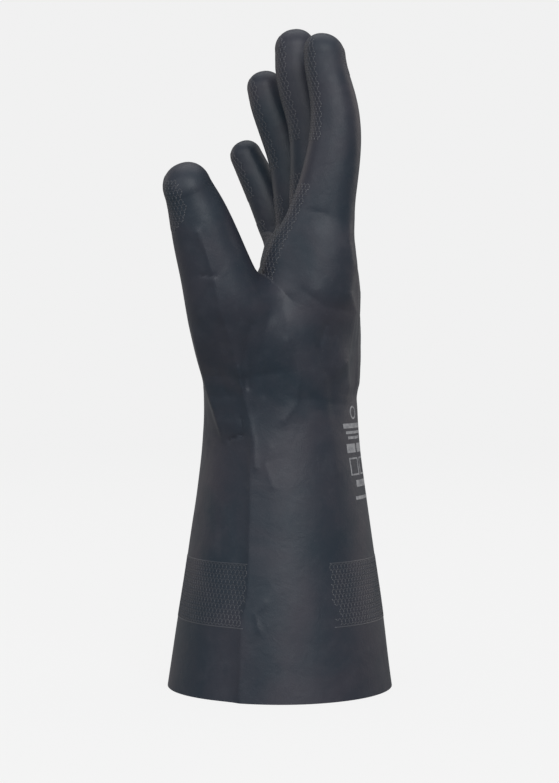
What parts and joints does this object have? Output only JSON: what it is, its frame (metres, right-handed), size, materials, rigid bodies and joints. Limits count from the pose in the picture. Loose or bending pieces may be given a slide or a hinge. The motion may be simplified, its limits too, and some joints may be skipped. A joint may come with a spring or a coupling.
{
  "type": "rubber insulating gauntlet glove",
  "caption": "Black dipped-rubber gauntlet glove for the right hand, flock lined, with brick-pattern grip; bends at the wrist, thumb and fingers.",
  "frame": {"origin": "middle of the whole glove's extent in X and Y, at the plane of the cuff's edge", "axes": "+Z from the cuff to the fingertips, +X to the back of the hand, -X to the palm, -Y to the thumb side"},
  "size_m": [0.1236, 0.1274, 0.3576],
  "materials": {
    "rubber": "satin slate-black dipped rubber",
    "flock_lining": "matte off-white cotton flock",
    "printed_ink": "matte pale grey ink film"
  },
  "bodies": {
    "gauntlet": {"gauntlet_shell": "rubber", "gauntlet_lining": "flock_lining", "printed_marks": "printed_ink", "wrist_flex_shell": "rubber", "wrist_flex_lining": "flock_lining"},
    "hand": {"hand_shell": "rubber", "hand_lining": "flock_lining", "index_root_flex_shell": "rubber", "index_root_flex_lining": "flock_lining", "middle_root_flex_shell": "rubber", "middle_root_flex_lining": "flock_lining", "ring_root_flex_shell": "rubber", "ring_root_flex_lining": "flock_lining", "little_root_flex_shell": "rubber", "little_root_flex_lining": "flock_lining", "thumb_root_flex_shell": "rubber", "thumb_root_flex_lining": "flock_lining"},
    "index_base": {"index_base_shell": "rubber", "index_base_lining": "flock_lining", "index_middle_flex_shell": "rubber", "index_middle_flex_lining": "flock_lining"},
    "index_tip": {"index_tip_shell": "rubber", "index_tip_lining": "flock_lining"},
    "middle_base": {"middle_base_shell": "rubber", "middle_base_lining": "flock_lining", "middle_middle_flex_shell": "rubber", "middle_middle_flex_lining": "flock_lining"},
    "middle_tip": {"middle_tip_shell": "rubber", "middle_tip_lining": "flock_lining"},
    "ring_base": {"ring_base_shell": "rubber", "ring_base_lining": "flock_lining", "ring_middle_flex_shell": "rubber", "ring_middle_flex_lining": "flock_lining"},
    "ring_tip": {"ring_tip_shell": "rubber", "ring_tip_lining": "flock_lining"},
    "little_base": {"little_base_shell": "rubber", "little_base_lining": "flock_lining", "little_middle_flex_shell": "rubber", "little_middle_flex_lining": "flock_lining"},
    "little_tip": {"little_tip_shell": "rubber", "little_tip_lining": "flock_lining"},
    "thumb_base": {"thumb_base_shell": "rubber", "thumb_base_lining": "flock_lining", "thumb_middle_flex_shell": "rubber", "thumb_middle_flex_lining": "flock_lining"},
    "thumb_tip": {"thumb_tip_shell": "rubber", "thumb_tip_lining": "flock_lining"}
  },
  "joints": [
    {"name": "wrist_bend", "type": "hinge", "parent": "gauntlet", "child": "hand", "pos_m": [0, 0.0061, 0.165], "axis": [0, -1, 0], "range_deg": [-20, 20], "stiffness_Nm_per_rad": 2, "deforming": ["wrist_flex_shell", "wrist_flex_lining"]},
    {"name": "index_root_bend", "type": "hinge", "parent": "hand", "child": "index_base", "pos_m": [0.02073, -0.03304, 0.26329], "axis": [0, -1, 0], "range_deg": [-10, 50], "stiffness_Nm_per_rad": 0.12, "deforming": ["index_root_flex_shell", "index_root_flex_lining"]},
    {"name": "index_middle_bend", "type": "hinge", "parent": "index_base", "child": "index_tip", "pos_m": [0.02553, -0.03494, 0.2996], "axis": [0, -1, 0], "range_deg": [-5, 55], "stiffness_Nm_per_rad": 0.08, "deforming": ["index_middle_flex_shell", "index_middle_flex_lining"]},
    {"name": "middle_root_bend", "type": "hinge", "parent": "hand", "child": "middle_base", "pos_m": [0.01698, -0.00567, 0.26386], "axis": [0, -1, 0], "range_deg": [-10, 50], "stiffness_Nm_per_rad": 0.12, "deforming": ["middle_root_flex_shell", "middle_root_flex_lining"]},
    {"name": "middle_middle_bend", "type": "hinge", "parent": "middle_base", "child": "middle_tip", "pos_m": [0.01533, -0.00637, 0.30357], "axis": [0, -1, 0], "range_deg": [-5, 55], "stiffness_Nm_per_rad": 0.08, "deforming": ["middle_middle_flex_shell", "middle_middle_flex_lining"]},
    {"name": "ring_root_bend", "type": "hinge", "parent": "hand", "child": "ring_base", "pos_m": [0.0078, 0.02125, 0.26156], "axis": [0, -1, 0], "range_deg": [-10, 50], "stiffness_Nm_per_rad": 0.12, "deforming": ["ring_root_flex_shell", "ring_root_flex_lining"]},
    {"name": "ring_middle_bend", "type": "hinge", "parent": "ring_base", "child": "ring_tip", "pos_m": [0.00433, 0.022, 0.29002], "axis": [0, -1, 0], "range_deg": [-5, 55], "stiffness_Nm_per_rad": 0.08, "deforming": ["ring_middle_flex_shell", "ring_middle_flex_lining"]},
    {"name": "little_root_bend", "type": "hinge", "parent": "hand", "child": "little_base", "pos_m": [-0.00569, 0.04693, 0.25858], "axis": [0, -1, 0], "range_deg": [-10, 50], "stiffness_Nm_per_rad": 0.12, "deforming": ["little_root_flex_shell", "little_root_flex_lining"]},
    {"name": "little_middle_bend", "type": "hinge", "parent": "little_base", "child": "little_tip", "pos_m": [-0.01304, 0.04808, 0.27509], "axis": [0, -1, 0], "range_deg": [-5, 55], "stiffness_Nm_per_rad": 0.08, "deforming": ["little_middle_flex_shell", "little_middle_flex_lining"]},
    {"name": "thumb_spread", "type": "hinge", "parent": "hand", "child": "thumb_base", "pos_m": [-0.03436, -0.04266, 0.2272], "axis": [0.9644, -0.0504, 0.2595], "range_deg": [-20, 25], "stiffness_Nm_per_rad": 0.3, "deforming": ["thumb_root_flex_shell", "thumb_root_flex_lining"]},
    {"name": "thumb_tip_bend", "type": "hinge", "parent": "thumb_base", "child": "thumb_tip", "pos_m": [-0.04308, -0.04656, 0.24727], "axis": [0, -1, 0], "range_deg": [-5, 35], "stiffness_Nm_per_rad": 0.12, "deforming": ["thumb_middle_flex_shell", "thumb_middle_flex_lining"]}
  ]
}
